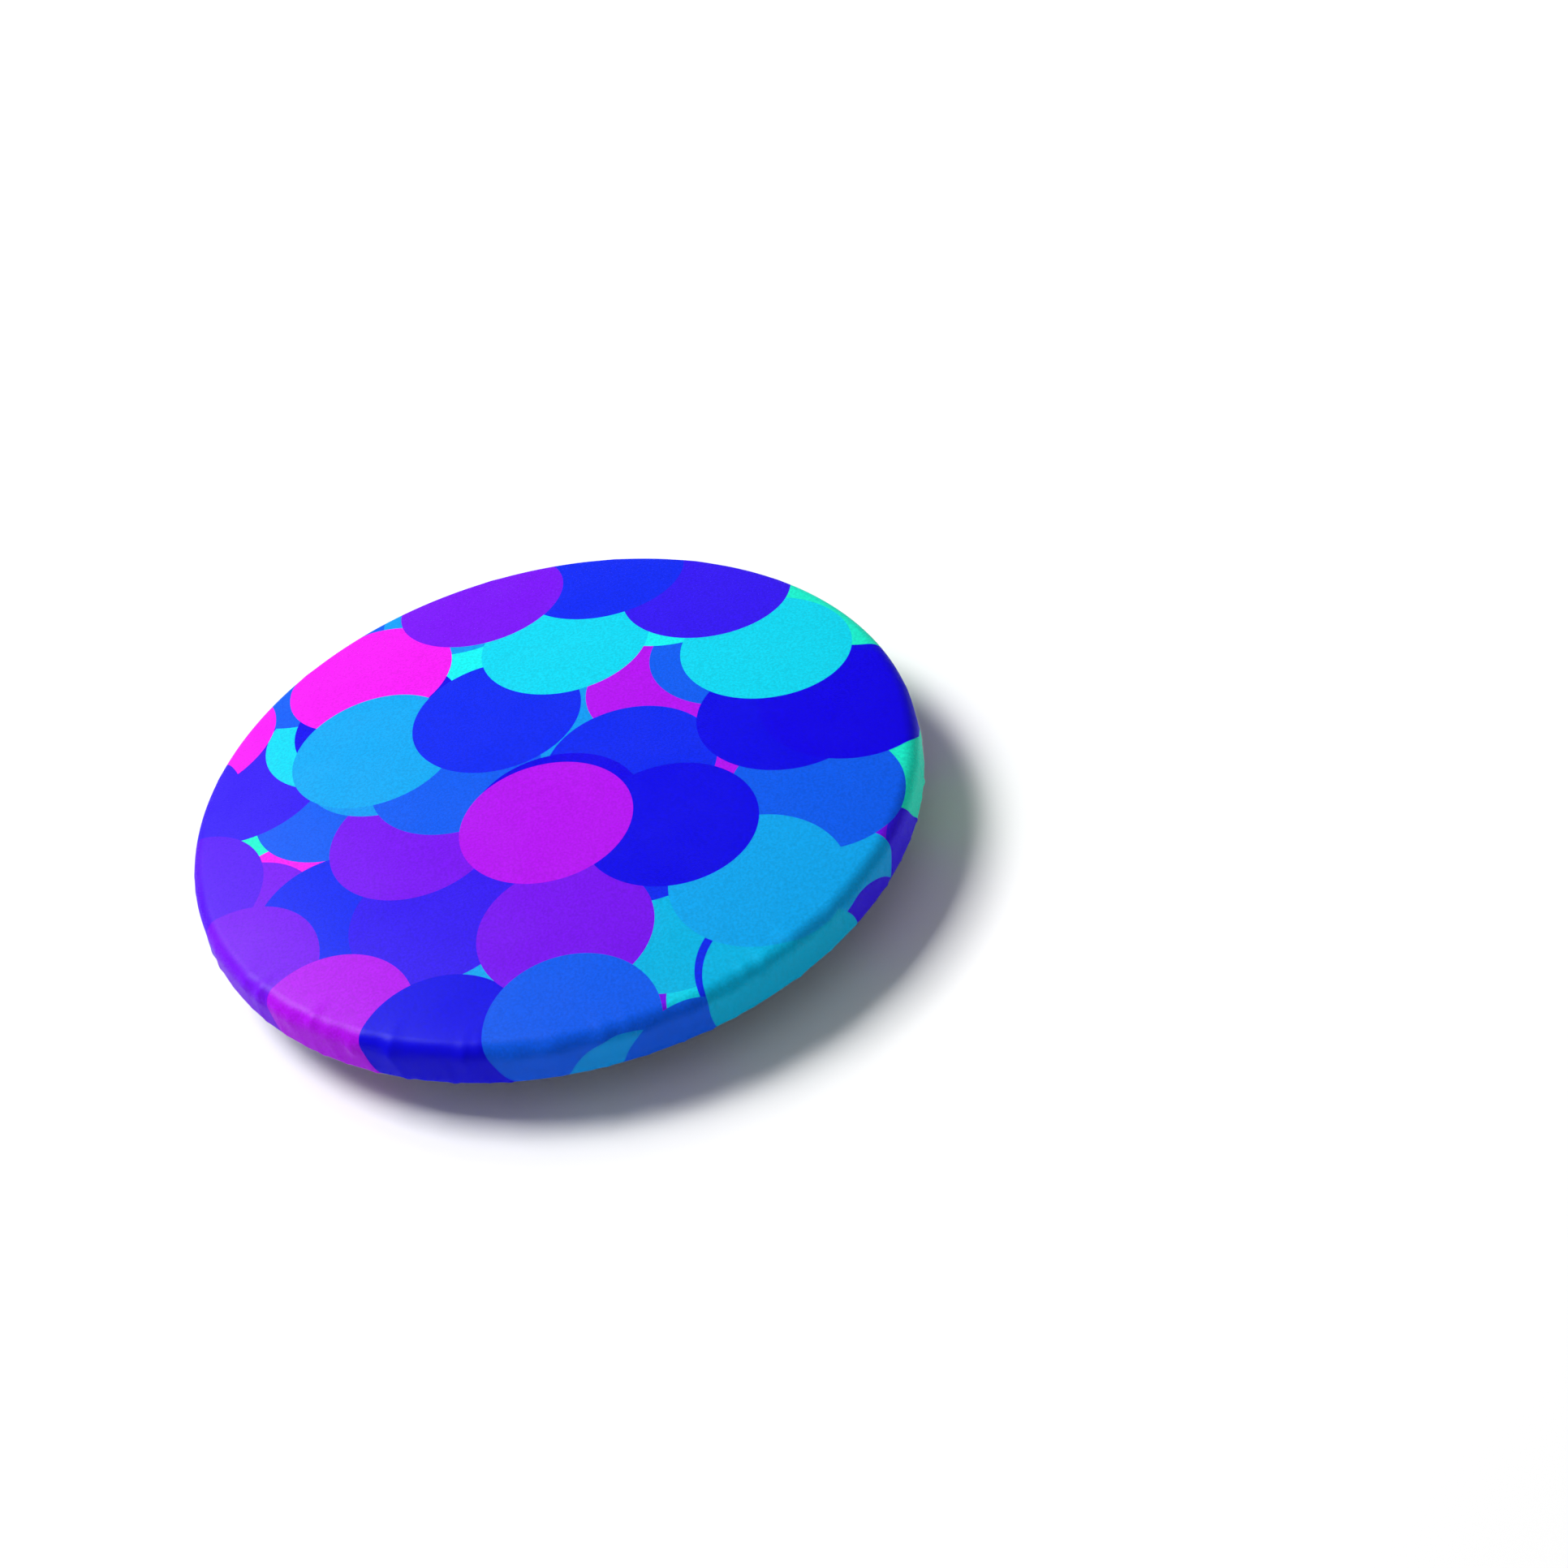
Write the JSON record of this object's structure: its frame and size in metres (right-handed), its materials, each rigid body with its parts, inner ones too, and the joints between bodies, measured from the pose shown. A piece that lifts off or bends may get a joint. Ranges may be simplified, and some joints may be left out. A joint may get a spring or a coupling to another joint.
{
  "type": "button badge",
  "caption": "Round pin-back button badge: domed face with printed paper under clear film, pressed tinplate back and a coiled spring-wire safety pin that opens.",
  "frame": {"origin": "under the middle of the badge, level with the lowest point of the pin, with the face up", "axes": "+Z out of the face; the pin lies along X, with its coil on the +X side and its catch on the -X side"},
  "size_m": [0.058, 0.058, 0.0089],
  "materials": {
    "film": "clear satin polyester",
    "print": "printed paper, bright overlapping dots",
    "shell": "plain tinplate",
    "plate": "finely brushed tinplate",
    "wire": "polished nickel-plated spring steel"
  },
  "bodies": {
    "badge": {"clear_film": "film", "printed_disc": "print", "front_shell": "shell", "back_plate": "plate", "pin_base": "wire"},
    "pin_coil": {"pin_coil": "wire"},
    "pin_needle": {"pin_needle": "wire"}
  },
  "joints": [
    {"name": "needle_lift", "type": "hinge", "parent": "badge", "child": "pin_coil", "pos_m": [0.018, 0, 0.0029], "axis": [0, -1, 0], "range_deg": [0, 45]},
    {"name": "needle_swing", "type": "hinge", "parent": "pin_coil", "child": "pin_needle", "pos_m": [0.0174, -0.0007, 0.00045], "axis": [0, 0, 1], "range_deg": [0, 27]}
  ],
  "couplings": [
    {"joint": "needle_swing", "follows": "needle_lift", "ratio": 0.6}
  ]
}
